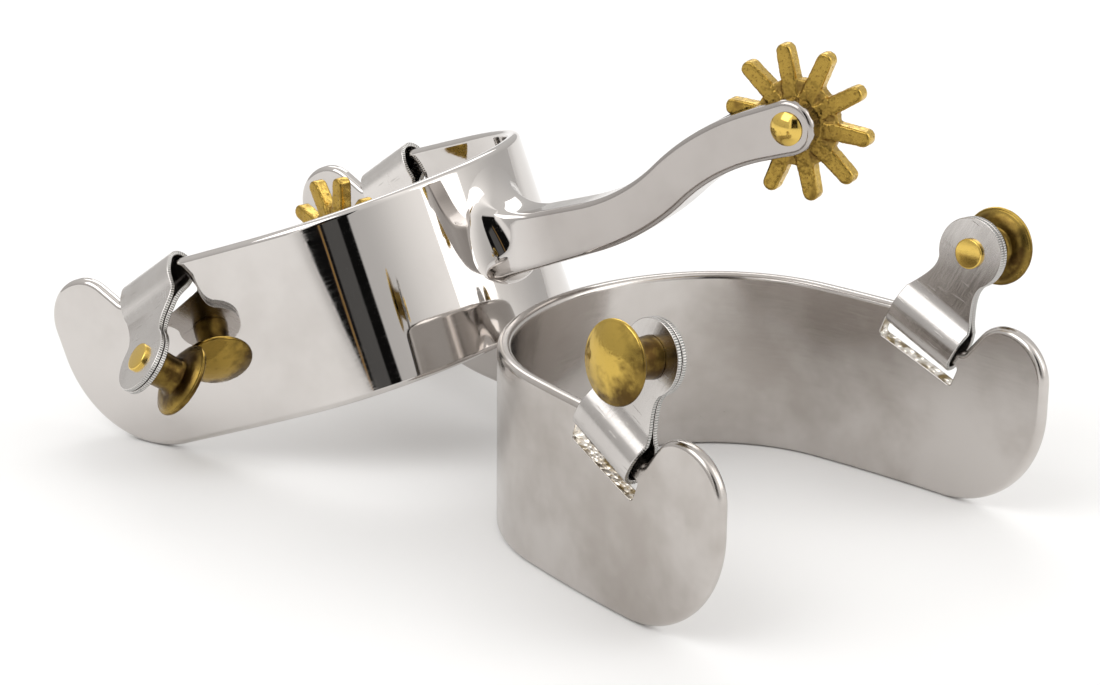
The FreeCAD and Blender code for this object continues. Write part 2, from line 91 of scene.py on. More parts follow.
SHANK_ROOT_Z = 18.9
SHANK_TIP_Z = 29.4
PIN_X = -75.5
RISE_START = -22.0
RISE_END = -68.0
SHANK_START = -9.0
SHANK_HALVES = (5.9, 4.9, 5.6)  # half heights at the root, in the middle and at the pin
SHANK_HALF_WIDTH = 4.8
FORK_HALF_WIDTH = 5.8
FORK_START = -56.0
FORK_WIDENS = -30.0  # where the shank starts to widen towards the fork
SHANK_ROUND = 1.15
SHANK_SPACING = 0.6
SHANK_EDGE_STEPS = 14  # rings across its top, bottom and root faces
SHANK_SHARP = 38  # edges that turn by more degrees stay sharp
ROWEL_RADIUS = 15.8
ROWEL_TEETH = 10
ROWEL_PHASE = {"lower": 91.2, "upper": 82.4}
TOOTH_WIDEN = 1.13  # the cast teeth are this much wider than the CAD teeth
WIDEN_OVER = (7.0, 3.0)  # from this far out, over this length
TOOTH_THIN = 0.2  # and thinner by this share
THIN_OVER = (6.5, 3.5)
CAST_VOXEL = 0.2
CAST_FIRST_VOXEL = 0.22
CAST_SMOOTHING = 7
LUMP_DEPTHS = (0.06, 0.12)  # everywhere, and more near the hub
PIT_DEPTH = 0.22
FORK_GAP_HALF = 2.5
FORK_GAP_CLEAR = 0.9

ROOT_START = -10.5  # the weld's hollow flare starts here
ROOT_SURFACE = 0.02  # and runs out along the heel's outer face
ROOT_STUB = 1.1  # length of shank left inside the heel's steel
ROOT_UP = 11.6  # growth of the root above, below and to each side
ROOT_DOWN = 2.4
ROOT_WIDE = 7.8
ROOT_ROUNDNESS = 0.95  # how far the root's section goes from square to oval
ROOT_PAST = 1.05  # how far the rounded rims may pass the section's own size
ROOT_TINT_START = -14.5  # the polish changes over this length
ROOT_TINT_LENGTH = 10.0
HEEL_SIDE = 20.0  # the heel's arc is used this far to each side

PIN_RADIUS = 2.0
PIN_GRIP = 0.02  # how far the pin stands into the fork's steel
PIN_HEAD_RADIUS = 3.4
PIN_HEAD_HEIGHT = 1.7
PIN_RIM = 0.25
LATHE_SHARP = 40  # lathed edges that turn by more degrees stay sharp

LEAF_THICK = 1.0
LEAF_GAP = 0.2
HANGER_WIDTH = 17.0
HANGER_SHOULDER = 6.0
WAIST_DRAW = 1.6
WAIST_EASE = 3.6
HANGER_NECK = 13.1
HANGER_NECK_HALF = 4.5
HANGER_REACH = 20.3
HANGER_DISC = 7.3
DISC_START = -38.0
LOOP_INNER = 2.4
LOOP_STRAIGHT = 1.2
LOOP_CLOSED = 8.6
LOOP_EASE = 0.45
HANGER_SHIFT = -0.45
HANGER_ROUND = 0.22
HOLE_ROUND = 0.1
STRAP_SPACING = 0.8
STRAP_STEP = 0.25  # run over which the strap's direction is measured

BUTTON_RADIUS = 8.0
BUTTON_NECK_RADIUS = 4.1
BUTTON_NECK = 6.6
BUTTON_WAIST = 0.9
BUTTON_WAIST_CUT = 0.35
BUTTON_DISH = 1.4
BUTTON_RIM = 1.0
BUTTON_LIP = 0.5
BUTTON_DOME = 1.6
BUTTON_FOOT = 0.15
BUTTON_SAGS = (0.03, -0.12, -0.18, 0.35, BUTTON_LIP)  # of the arcs at foot, neck, waist, dish and lip
BUTTON_ARC_STEPS = (4, 12, 8, 14, 12)
FACE_FROM = 0.15  # the face's own tarnish and painted shade start this far above the rim
BUTTON_DENT = 0.02  # depth and size of the dents
BUTTON_DENT_SIZE = 0.9
TARNISH_BLOTCHES = 0.4  # blotches to the millimetre
# Where round each button's rim it is painted darker as shade, degrees in its lathe frame.
PAINTED_SHADE_SIDE = {"lower_left": -70, "lower_right": 68, "upper_left": 169, "upper_right": -174}

RIVET_RADIUS = 1.6
RIVET_DEPTH = 3.8  # how far its shaft stands in the button
RIVET_FIT = 0.02  # the holes' slack on it
RIVET_HEAD_RADIUS = 3.1
RIVET_HEAD_HEIGHT = 0.8
RIVET_HEAD_ROUND = 0.35

# How far each strap is skewed on its bar, degrees, and hangs off it.
STRAPS = {
    "lower_left": (3.0, 0.1),
    "lower_right": (3.0, 0.1),
    "upper_left": (7.5, 1.2),
    "upper_right": (6.0, 1.0),
}


# ---------------- places, from the frame

def joint(name):
    return next(j for j in frame["joints"] if j["name"] == name)


def mount(name):
    return next(m for m in frame["record"]["mounts"] if m["name"] == name)


def axes_matrix(origin, x_axis, y_axis):
    """Rigid frame from an origin, an X direction and a rough Y direction."""
    x = Vector(x_axis).normalized()
    z = x.cross(Vector(y_axis)).normalized()
    y = z.cross(x)
    made = Matrix((x, y, z)).transposed().to_4x4()
    made.translation = Vector(origin)
    return made


def landmark_frame(name):
    """Frame on a spur's rowel pin, aimed at the middle of its two hanger bars."""
    pin = Vector(joint(name + "_rowel_spin")["pos_m"])
    left = Vector(joint(name + "_left_hanger_swing")["pos_m"])
    right = Vector(joint(name + "_right_hanger_swing")["pos_m"])
    return axes_matrix(pin, (left + right) / 2 - pin, left - right)


def spur_matrix(name):
    """Carries a spur's own millimetres to the row frame's metres."""
    own = Matrix.Translation((-BAND_THICK / 2 * MM, 0, 0)) @ Matrix.Scale(MM, 4)
    return landmark_frame(name) @ landmark_frame("lower").inverted() @ own


def strap_matrix(key):
    """Strap frame: the bar is its Y axis, the strap reaches along +Z, the button stands on +X."""
    side = 1 if key.endswith("left") else -1
    skew, drop = STRAPS[key]
    hinge = joint(key + "_hanger_swing")
    swung = axes_matrix(hinge["pos_m"], mount(key + "_strap_button")["axis"], hinge["axis"])
    skewed = Matrix.Rotation(math.radians(side * skew), 4, "X")
    own = Matrix.Translation((0, -side * HANGER_SHIFT, -drop))
    return swung @ Matrix.Scale(MM, 4) @ skewed @ own


# ---------------- outlines

def rounded_outline(corners, step):
    """Closed outline through corners (u, v, radius), anticlockwise: its points and outward normals."""
    places = np.array([corner[:2] for corner in corners], float)
    arcs = []
    for before, here, after, corner in zip(np.roll(places, 1, 0), places, np.roll(places, -1, 0), corners):
        radius = corner[2]
        way_in = (here - before) / np.linalg.norm(here - before)
        way_out = (after - here) / np.linalg.norm(after - here)
        turn = math.atan2(way_in[0] * way_out[1] - way_in[1] * way_out[0], way_in @ way_out)
        bend = math.copysign(radius, turn)
        start = here - way_in * radius * math.tan(abs(turn) / 2)
        centre = start + bend * np.array([-way_in[1], way_in[0]])
        angles = np.linspace(0, turn, max(4, math.ceil(radius * abs(turn) / step)) + 1)
        c, s = np.cos(angles), np.sin(angles)
        outward = np.stack([s * way_in[0] + c * way_in[1], s * way_in[1] - c * way_in[0]], 1)
        arcs.append((centre + bend * outward, outward))
    points, normals = [], []
    for (arc, outward), (following, _) in zip(arcs, arcs[1:] + arcs[:1]):
        gap = following[0] - arc[-1]
        shares = np.linspace(0, 1, max(2, math.ceil(np.linalg.norm(gap) / step)) + 1)[1:-1, None]
        points += [arc, arc[-1] + gap * shares]
        normals += [outward, np.repeat(outward[-1:], len(shares), 0)]
    return np.concatenate(points), np.concatenate(normals)


def fade(value, low, length):
    """Rises from 0 to 1 over a length that starts at low, or falls where the length is negative."""
    return np.clip((value - low) / length, 0, 1)


def traced_outline(points):
    """Outline through dense points, anticlockwise, with normals from its neighbours."""
    points = np.array(points, float)
    heading = np.roll(points, -1, 0) - np.roll(points, 1, 0)
    heading /= np.linalg.norm(heading, axis=1)[:, None]
    return points, np.stack([heading[:, 1], -heading[:, 0]], 1)


def cubic(start, first, second, end, count):
    """Points along a cubic curve with two handles."""
    t = np.linspace(0, 1, count)[:, None]
    return (1 - t) ** 3 * start + 3 * t * (1 - t) ** 2 * first + 3 * t * t * (1 - t) * second + t ** 3 * end


def circle_hole(centre, radius, count):
    """Round hole: its normals point into the hole, out of the material."""
    turns = np.linspace(0, 2 * np.pi, count, endpoint=False)
    ring = np.stack([np.cos(turns), np.sin(turns)], 1)
    return np.array(centre) + radius * ring, -ring


def inside(points, loops):
    """True for the points inside the first closed loop and outside the others, which lie in it."""
    x, y = points[:, 0][:, None], points[:, 1][:, None]
    crossings = 0
    for loop in loops:
        x0, y0 = loop[:, 0], loop[:, 1]
        x1, y1 = np.roll(x0, -1), np.roll(y0, -1)
        at = x0 + (y - y0) * (x1 - x0) / np.where(y1 == y0, 1e-9, y1 - y0)
        crossings += (((y0 > y) != (y1 > y)) & (x < at)).sum(1)
    return crossings % 2 == 1


def distance_to(points, loop):
    """Distance of each point to the nearest point of a dense loop."""
    return np.sqrt(((points[:, None, :] - loop[None, :, :]) ** 2).sum(2).min(1))


# ---------------- plates
# A plate is a flat outline with holes, rounded rims and a place() that bends it into shape.

RIM_STEPS = 6  # rings round a rounded rim
WALL_STEPS = 5  # rings down a torn wall
WALL_TURN = 0.8  # radians round the rim past which it counts as wall
GRID_CLEAR = 0.55  # share of the spacing that grid points keep off the rims
MERGE_GAP = 1e-7
NORMAL_STEP = 0.02
TORN_FLAKES = (0.9, 1.1)  # flakes of a torn wall to the millimetre, along and down it
TORN_GRAIN = (1.7, 1.5)  # and the grain between them
TORN_MOST = 1.4


def face_net(loops, rounds, spacing):
    """Triangles of a plate's face, inside its rounded rims: points, triangles, loop point numbers."""
    inner = [points - normals * size for (points, normals), size in zip(loops, rounds)]
    low, high = inner[0].min(0), inner[0].max(0)
    grid_u = np.arange(low[0] + spacing / 2, high[0], spacing)
    grid_v = np.arange(low[1] + spacing / 2, high[1], spacing)
    grid = np.stack(np.meshgrid(grid_u, grid_v), 2).reshape(-1, 2)
    grid = grid[inside(grid, inner)]
    for loop in inner:
        grid = grid[distance_to(grid, loop) > spacing * GRID_CLEAR]
    verts, edges, starts = [], [], []
    for loop in inner:
        first = len(verts)
        starts.append(first)
        verts += [Vector(point) for point in loop]
        edges += [(first + i, first + (i + 1) % len(loop)) for i in range(len(loop))]
    verts += [Vector(point) for point in grid]
    made = geometry.delaunay_2d_cdt(verts, edges, [], 0, MERGE_GAP, True)
    points = np.array([tuple(v) for v in made[0]])
    triangles = np.array([face for face in made[2] if len(face) == 3])
    number = {old: new for new, olds in enumerate(made[3]) for old in olds}
    rings = [[number[first + i] for i in range(len(loop))] for first, loop in zip(starts, inner)]
    return points, triangles[inside(points[triangles].mean(1), inner)], rings


def plate(name, loops, rounds, spacing, half, place, material, hole_roughness=0.0, edge_steps=0):
    """Closed mesh of a plate. half(u, v) is its half thickness and place(u, v, h) bends it.

    Its vertices are marked as cut edge or hole wall, and with their run along the loop.
    """
    flat, triangles, rings = face_net(loops, rounds, spacing)
    count = len(flat)
    u, v = flat[:, 0], flat[:, 1]
    parts = [np.stack([u, v, side * half(u, v)], 1) for side in (1, -1)]
    tips = [np.tile([0.0, 0.0, side], (count, 1)) for side in (1, -1)]
    marks = {key: [np.zeros(2 * count)] for key in ("edge", "wall", "along")}
    faces = [tuple(t) for t in triangles] + [tuple(t[::-1] + count) for t in triangles]
    total = 2 * count
    turns = np.linspace(0, np.pi / 2, RIM_STEPS + 1)[1:]
    for number, ((points, normals), size, ring) in enumerate(zip(loops, rounds, rings)):
        length = len(ring)
        previous, bottom = np.array(ring), np.array(ring) + count
        run = np.concatenate([[0], np.cumsum(np.linalg.norm(np.diff(points, axis=0), axis=1))])
        for joined in (previous, bottom):
            marks["along"][0][joined] = run
        rough = hole_roughness if number else 0.0
        flats = np.linspace(1, -1, (WALL_STEPS if rough else edge_steps) + 2)[1:-1]
        columns = [(turn, 1) for turn in turns] + [(np.pi / 2, share) for share in flats]
        columns += [(turn, -1) for turn in turns[::-1]]
        for turn, side in columns:
            is_wall = turn > WALL_TURN
            out = points - normals * size * (1 - math.sin(turn))
            height = side * (half(points[:, 0], points[:, 1]) - size * (1 - math.cos(turn)))
            if rough and is_wall:
                out = out - normals * torn(out, height, rough)[:, None]
            parts.append(np.stack([out[:, 0], out[:, 1], height], 1))
            tips.append(np.concatenate([normals * math.sin(turn),
                                        np.full((length, 1), side * math.cos(turn))], 1))
            marks["edge"].append(np.full(length, float(is_wall and number == 0)))
            marks["wall"].append(np.full(length, float(is_wall and number > 0)))
            marks["along"].append(run)
            current = np.arange(total, total + length)
            total += length
            faces += strip(previous, current)
            previous = current
        faces += strip(previous, bottom)
    where, tip = np.concatenate(parts), np.concatenate(tips)
    located = place(where[:, 0], where[:, 1], where[:, 2])
    shading, mirrored = bent_normals(where, tip, place)
    if mirrored:
        faces = [face[::-1] for face in faces]
    made = make_mesh(name, located, faces, material, shading, where[:, :2])
    for key, values in marks.items():
        mark(made, key, np.concatenate(values))
    return made


def torn(points, height, depth):
    """How far a punched wall has torn back into the steel at each of its points."""
    made = np.zeros(len(points))
    flake, flake_down = TORN_FLAKES
    grain, grain_down = TORN_GRAIN
    for index, ((u, v), h) in enumerate(zip(points, height)):
        made[index] = noise.cell(Vector((u * flake, v * flake, h * flake_down))) * 0.5
        made[index] += 0.5 + 0.5 * noise.noise(Vector((u * grain, v * grain, h * grain_down)))
    return depth * np.clip(made, 0, TORN_MOST)


def mark(piece, key, values):
    """Stores one number per vertex for the materials to read."""
    layer = piece.data.attributes.new(key, "FLOAT", "POINT")
    layer.data.foreach_set("value", np.asarray(values, np.float32))


def strip(first, second):
    """Quads between two rings, with the second further out and down."""
    after_first, after_second = np.roll(first, -1), np.roll(second, -1)
    return [(int(a), int(d), int(c), int(b))
            for a, b, c, d in zip(first, after_first, after_second, second)]


def bent_normals(where, tip, place):
    """Directions of a plate's normals after place() has bent it, and whether it is mirrored."""
    step = NORMAL_STEP
    u, v, h = where[:, 0], where[:, 1], where[:, 2]
    along = place(u + step, v, h) - place(u - step, v, h)
    across = place(u, v + step, h) - place(u, v - step, h)
    out = np.cross(along, across)
    along /= np.linalg.norm(along, axis=1)[:, None]
    across /= np.linalg.norm(across, axis=1)[:, None]
    outwards = place(u, v, h + step) - place(u, v, h - step)
    mirrored = (out * outwards).sum() < 0
    out /= np.linalg.norm(out, axis=1)[:, None] * (-1 if mirrored else 1)
    made = along * tip[:, :1] + across * tip[:, 1:2] + out * tip[:, 2:]
    return made / np.linalg.norm(made, axis=1)[:, None], mirrored


def make_mesh(name, points, faces, material, normals=None, uv=None):
    """Smooth mesh object in the scene, with its own normals and UV map where they are given."""
    mesh = bpy.data.meshes.new(name)
    mesh.from_pydata(np.asarray(points).tolist(), [], faces)
    mesh.update()
    mesh.shade_smooth()
    if normals is not None:
        mesh.normals_split_custom_set_from_vertices(np.asarray(normals).tolist())
    if uv is not None:
        layer = mesh.uv_layers.new(name="UVMap")
        corners = np.zeros(len(mesh.loops), int)
        mesh.loops.foreach_get("vertex_index", corners)
        layer.uv.foreach_set("vector", np.asarray(uv, float)[corners].ravel())
    mesh.materials.append(material)
    made = bpy.data.objects.new(name, mesh)
    bpy.context.scene.collection.objects.link(made)
    return made


def moved(matrix):
    """Function that carries an array of points through a matrix."""
    turn = np.array(matrix.to_3x3())
    shift = np.array(matrix.translation)

    def carry(points):
        return points @ turn.T + shift
    return carry


# ---------------- heel band

def plan_arcs():
    """The band's middle line in plan: length, centre, radius and first heading of each arc."""
    first, second = (math.radians(turn) for turn in PLAN_TURNS)
    heel, corner, branch = PLAN_RADII
    middle = BAND_THICK / 2
    centre_1 = np.array([heel, 0.0])
    centre_2 = centre_1 + (heel - corner) * np.array([-math.cos(first), math.sin(first)])
    total = first + second
    centre_3 = centre_2 + (branch - corner) * np.array([math.cos(total), -math.sin(total)])
    return [
        (first * (heel - middle), centre_1, heel - middle, 0.0),
        (second * (corner - middle), centre_2, corner - middle, first),
        (math.inf, centre_3, branch - middle, total),
    ]


def band_point(run, height, out):
    """Point of the band at a run along its middle line from the heel, a height, and a way out of it."""
    side = np.where(run < 0, -1.0, 1.0)
    left = np.abs(run)
    x, y = np.zeros_like(left), np.zeros_like(left)
    done = np.zeros(len(left), bool)
    for length, centre, radius, heading in plan_arcs():
        here = ~done & (left <= length)
        turn = heading + left / radius
        size = radius + out
        x = np.where(here, centre[0] - size * np.cos(turn), x)
        y = np.where(here, centre[1] + size * np.sin(turn), y)
        done |= here
        left = np.where(done, left, left - length)
    return np.stack([x, side * y, height], 1)


def run_at(x):
    """Run along the middle line at which a branch reaches x."""
    low, high = 0.0, 2 * BAND_LENGTH
    for _ in range(50):
        middle = (low + high) / 2
        if band_point(np.array([middle]), np.zeros(1), 0.0)[0, 0] < x:
            low = middle
        else:
            high = middle
    return low


def slot_frame():
    """Middle of the slot and its two directions in the side view."""
    tilt = math.radians(SLOT_TILT)
    along = np.array([math.cos(tilt), -math.sin(tilt)])
    across = np.array([math.sin(tilt), math.cos(tilt)])
    return np.array(SLOT_MIDDLE), along, across


def branch_corners():
    """Side view of the left branch from its bottom corner round to the crest, with radii."""
    centre, along, across = slot_frame()
    edge = centre + across * (SLOT_HEIGHT / 2 + BAR_HEIGHT)
    crest = edge + along * ((edge[1] - BAND_HEIGHT) / math.sin(math.radians(SLOT_TILT)))
    notch = edge + along * NOTCH_END
    climb = TOE_HEIGHT - notch[1]
    shoulder = notch + np.array([climb / math.tan(math.radians(LOBE_SLOPE)), climb])
    return [
        (BAND_LENGTH, 0.0, TOE_LOW_RADIUS),
        (BAND_LENGTH, TOE_HEIGHT, TOE_TOP_RADIUS),
        (shoulder[0], shoulder[1], LOBE_RADIUS),
        (notch[0], notch[1], NOTCH_RADIUS),
        (crest[0], crest[1], CREST_RADIUS),
    ]


def band_loops():
    """Outline of the unrolled band and its two slots."""
    right = [(run_at(x), z, radius) for x, z, radius in branch_corners()]
    left = [(-run, z, radius) for run, z, radius in reversed(right)]
    outline = rounded_outline(right + left, BAND_OUTLINE_STEP)
    centre, along, across = slot_frame()
    shift = run_at(centre[0]) - centre[0]
    loops = [outline]
    half_long, half_high = SLOT_LENGTH / 2, SLOT_HEIGHT / 2
    for side in (1, -1):
        corners = []
        for a, b in ((-1, -1), (-1, 1), (1, 1), (1, -1)):
            point = centre + along * a * half_long + across * b * half_high
            corners.append((side * (point[0] + shift), point[1], SLOT_CORNER))
        if side < 0:
            corners.reverse()
        loops.append(rounded_outline(corners, SLOT_OUTLINE_STEP))
    return loops


def even(thickness):
    """Half thickness of a strip that is the same all over."""
    return lambda u, v: np.full_like(u, thickness / 2)


def heel_band(name, material):
    """Strip bent round the heel, with rounded rims and torn slots."""
    carry = moved(spur_matrix(name))

    def place(u, v, h):
        return carry(band_point(u, v, h))

    rounds = [EDGE_ROUND, SLOT_EDGE_ROUND, SLOT_EDGE_ROUND]
    return plate(name + "_heel_band_skin", band_loops(), rounds, BAND_SPACING, even(BAND_THICK), place,
                 material, SLOT_ROUGHNESS)


# ---------------- shank

def shank_centre(x):
    """Height of the shank's middle line: level, an S-bend of two equal arcs, level."""
    run = RISE_START - RISE_END
    rise = SHANK_TIP_Z - SHANK_ROOT_Z
    radius = run / (2 * math.sin(2 * math.atan2(rise, run)))
    first = SHANK_ROOT_Z + radius - np.sqrt(np.maximum(radius ** 2 - (RISE_START - x) ** 2, 0))
    second = SHANK_TIP_Z - radius + np.sqrt(np.maximum(radius ** 2 - (x - RISE_END) ** 2, 0))
    made = np.where(x > (RISE_START + RISE_END) / 2, first, second)
    made = np.where(x >= RISE_START, SHANK_ROOT_Z, made)
    return np.where(x <= RISE_END, SHANK_TIP_Z, made)


def shank_half_height(x):
    """Half height of the shank's side: least in the middle of the bend."""
    root, middle, tip = SHANK_HALVES
    turn_x = (RISE_START + RISE_END) / 2
    far = np.where(x < turn_x, PIN_X, SHANK_START)
    end = np.where(x < turn_x, tip, root)
    share = np.clip(np.abs((x - turn_x) / (far - turn_x)), 0, 1)
    return middle + (end - middle) * share ** 2


def shank_outline():
    """Side view without the weld: bottom edge towards the root, root, top edge back, round tip."""
    xs = np.concatenate([np.arange(PIN_X, ROOT_START, 0.8), np.linspace(ROOT_START, ROOT_STUB, 48)])
    middle, half = shank_centre(xs), shank_half_height(xs)
    slope = shank_centre(xs + 0.5) - shank_centre(xs - 0.5)
    length = np.hypot(1, slope)
    low, top = (np.stack([xs - side * half * slope / length, middle + side * half / length], 1)
                for side in (-1, 1))
    root_z = np.arange(low[-1, 1], top[-1, 1], 0.5)[1:]
    root = np.stack([np.full_like(root_z, ROOT_STUB), root_z], 1)
    radius = SHANK_HALVES[2]
    turns = np.linspace(np.pi / 2, 3 * np.pi / 2, 40)[1:-1]
    tip = np.stack([PIN_X + radius * np.cos(turns), SHANK_TIP_Z + radius * np.sin(turns)], 1)
    return traced_outline(np.concatenate([low, root, top[::-1], tip]))


def shank_half_width(u, _):
    """Half width of the shank, which swells to the fork."""
    share = fade(u, FORK_WIDENS, FORK_START - FORK_WIDENS)
    return SHANK_HALF_WIDTH + (FORK_HALF_WIDTH - SHANK_HALF_WIDTH) * (share * share * (3 - 2 * share))


def weld_root(u, v, h):
    """Spreads the shank's root into a hollow oval flare, tangent to the shank and to the heel."""
    reach = -ROOT_START
    in_root = u > ROOT_START
    turn = np.clip((u + reach) / reach, 0, 1) * np.pi / 2
    x = np.where(u < ROOT_START, u, ROOT_START + (reach + ROOT_SURFACE) * np.sin(turn) + np.maximum(u, 0))
    growth = np.where(u < ROOT_START, 0, 1 - np.cos(turn))
    centre, tall = shank_centre(u), shank_half_height(u)
    a = np.clip((v - centre) / tall, -ROOT_PAST, ROOT_PAST)
    b = np.clip(h / SHANK_HALF_WIDTH, -ROOT_PAST, ROOT_PAST)
    oval = ROOT_ROUNDNESS * np.sin(turn) ** 2 * in_root
    round_a, round_b = a * np.sqrt(1 - oval * b * b / 2), b * np.sqrt(1 - oval * a * a / 2)
    up = np.where(a > 0, ROOT_UP, ROOT_DOWN)
    z = np.where(oval > 0, centre + round_a * (tall + growth * up), v)
    y = np.where(oval > 0, round_b * (SHANK_HALF_WIDTH + growth * ROOT_WIDE), h)
    heel = PLAN_RADII[0]
    hollow = heel - np.sqrt(heel ** 2 - np.clip(y, -HEEL_SIDE, HEEL_SIDE) ** 2)
    return x + hollow * np.sin(turn) ** 2 * in_root, y, z


def pin_frame(name):
    """Frame in the middle of a spur's rowel pin, along the spur's own axes."""
    return spur_matrix(name) @ Matrix.Translation((PIN_X, 0, SHANK_TIP_Z))


def pin_axis(name):
    """Lathe frame of a rowel pin: local Z runs along it."""
    return pin_frame(name) @ Matrix.Rotation(math.pi / 2, 4, "X")


def shank(name, material):
    """Curved arm with a flared weld, its fork and pin hole cut out."""
    carry = moved(spur_matrix(name))

    def place(u, v, h):
        return carry(np.stack(weld_root(u, v, h), 1))

    made = plate(name + "_shank_skin", [shank_outline()], [SHANK_ROUND], SHANK_SPACING, shank_half_width,
                 place, material, edge_steps=SHANK_EDGE_STEPS)
    fork_cut = (ROWEL_RADIUS + FORK_GAP_CLEAR, FORK_GAP_HALF)
    pin_cut = (PIN_RADIUS - PIN_GRIP, 2 * FORK_HALF_WIDTH)
    for radius, half in (fork_cut, pin_cut):
        profile = [(-half, 0), (-half, radius), (half, radius), (half, 0)]
        tool = lathe("fork_tool", profile, pin_axis(name), material, 128)
        modifier = made.modifiers.new("cut", "BOOLEAN")
        modifier.operation = "DIFFERENCE"
        modifier.solver = "EXACT"
        modifier.object = tool
        settle(made)
        bpy.data.objects.remove(tool)
    if "custom_normal" in made.data.attributes:
        made.data.attributes.remove(made.data.attributes["custom_normal"])
    made.data.shade_smooth()
    made.data.set_sharp_from_angle(angle=math.radians(SHANK_SHARP))
    own = own_points(made, spur_matrix(name))
    mark(made, "root", fade(own[:, 0], ROOT_TINT_START, ROOT_TINT_LENGTH))
    return made


def settle(piece):
    """Applies a piece's modifiers to its mesh."""
    bpy.context.view_layer.update()
    graph = bpy.context.evaluated_depsgraph_get()
    mesh = bpy.data.meshes.new_from_object(piece.evaluated_get(graph))
    piece.modifiers.clear()
    old = piece.data
    piece.data = mesh
    bpy.data.meshes.remove(old)


# ---------------- turned pieces

def lathe(name, profile, matrix, material, count=96):
    """Solid of revolution about local Z from a profile of (z, radius) that starts and ends on the axis."""
    turns = np.linspace(0, 2 * np.pi, count, endpoint=False)
    points, faces, rings = [], [], []
    for z, radius in profile:
        if radius == 0:
            rings.append([len(points)] * count)
            points.append((0, 0, z))
            continue
        rings.append(list(range(len(points), len(points) + count)))
        points += [(radius * math.cos(t), radius * math.sin(t), z) for t in turns]
    for low, high in zip(rings, rings[1:]):
        for i in range(count):
            j = (i + 1) % count
            faces.append(tuple(dict.fromkeys((low[i], low[j], high[j], high[i]))))
    made = make_mesh(name, moved(matrix)(np.array(points, float)), faces, material)
    made.data.set_sharp_from_angle(angle=math.radians(LATHE_SHARP))
    return made


def arc_points(start, end, sag, count):
    """Points on an arc from start to end whose middle stands off the chord by sag, on its left."""
    start, end = np.array(start, float), np.array(end, float)
    chord = end - start
    if sag == 0:
        return [tuple(start + chord * t) for t in np.linspace(0, 1, count)]
    size = np.linalg.norm(chord)
    radius = (size ** 2 / 4 + sag ** 2) / (2 * sag)
    centre = (start + end) / 2 + np.array([-chord[1], chord[0]]) / size * (sag - radius)
    x, y = start - centre
    total = 2 * math.asin(min(1.0, size / 2 / abs(radius))) * (-1 if sag > 0 else 1)
    turns = np.linspace(0, total, count)
    c, s = np.cos(turns), np.sin(turns)
    return list(zip(centre[0] + c * x - s * y, centre[1] + s * x + c * y))


def chain(*stretches):
    """One profile from stretches that share their end points."""
    made = list(stretches[0])
    for stretch in stretches[1:]:
        made += list(stretch)[1:]
    return [(float(z), max(0.0, float(r))) for z, r in made]


def dome_profile(base, radius, height, count=18):
    """Spherical cap from its rim to the axis."""
    ball = (radius ** 2 + height ** 2) / (2 * height)
    turns = np.linspace(math.asin(radius / ball), 0, count)
    return [(base + height - ball + ball * math.cos(t), ball * math.sin(t)) for t in turns]


def rowel_pin(name, material):
    """Shaft through the fork with a domed head on each cheek."""
    seat = FORK_HALF_WIDTH
    head = dome_profile(seat + PIN_RIM, PIN_HEAD_RADIUS, PIN_HEAD_HEIGHT - PIN_RIM)
    upper = [(seat, PIN_RADIUS), (seat, PIN_HEAD_RADIUS - 0.15), (seat + 0.1, PIN_HEAD_RADIUS)] + head
    lower = [(-z, r) for z, r in reversed(upper)]
    middle = arc_points((-seat, PIN_RADIUS), (seat, PIN_RADIUS), 0, 9)
    return lathe(name + "_rowel_pin_turned", chain(lower, middle, upper), pin_axis(name), material)


def strap_axis(key):
    """Lathe frame of a strap's button and rivet: local Z runs along the strap frame's +X."""
    middle = Matrix.Translation((0, 0, HANGER_REACH))
    return strap_matrix(key) @ middle @ Matrix.Rotation(math.pi / 2, 4, "Y")


def button(key, material):
    """Strap button: waisted neck, dished underside, round lip and domed face, with tarnish blotches and painted
    shade on one side of its face.
    """
    seat = LEAF_GAP / 2 + LEAF_THICK
    under = seat + BUTTON_NECK
    rim = under + BUTTON_DISH
    face = rim + BUTTON_RIM
    lip = BUTTON_RADIUS - BUTTON_LIP
    neck, foot, waist_cut = BUTTON_NECK_RADIUS, BUTTON_FOOT, BUTTON_WAIST_CUT
    corners = [(seat, neck - foot), (seat + foot, neck), (under - BUTTON_WAIST, neck - waist_cut),
               (under, neck + waist_cut), (rim, lip), (face, lip)]
    arcs = [arc_points(*arc) for arc in zip(corners, corners[1:], BUTTON_SAGS, BUTTON_ARC_STEPS)]
    profile = chain([(seat, 0), corners[0]], *arcs, dome_profile(face, lip, BUTTON_DOME, 26))
    made = lathe(key + "_button_turned", profile, strap_axis(key), material, 128)
    own = own_points(made, strap_axis(key))
    size, turn = np.hypot(own[:, 0], own[:, 1]), np.arctan2(own[:, 1], own[:, 0])
    # Painted shade: the face darkens towards its rim on one side, mottled by tarnish blotches; below the face the
    # neck and the dish under the head stay nearly all dark brown.
    towards = 0.4 + 0.6 * np.cos(turn - math.radians(PAINTED_SHADE_SIDE[key]))
    blotch = np.array([noise.fractal(Vector(point) * TARNISH_BLOTCHES, 0.7, 2.0, 4) for point in own])
    on_face = 1.8 * np.clip(size / BUTTON_RADIUS, 0, 1) ** 1.5 * towards - 0.25 + 0.5 * blotch
    under_head = 1.0 - 0.25 * fade(size, lip - 0.9, 0.6)
    mark(made, "tarnish_and_shade", np.where(own[:, 2] < rim + FACE_FROM, under_head, np.clip(on_face, 0, 0.97)))
    weather(made, key, BUTTON_DENT, BUTTON_DENT_SIZE)
    return made


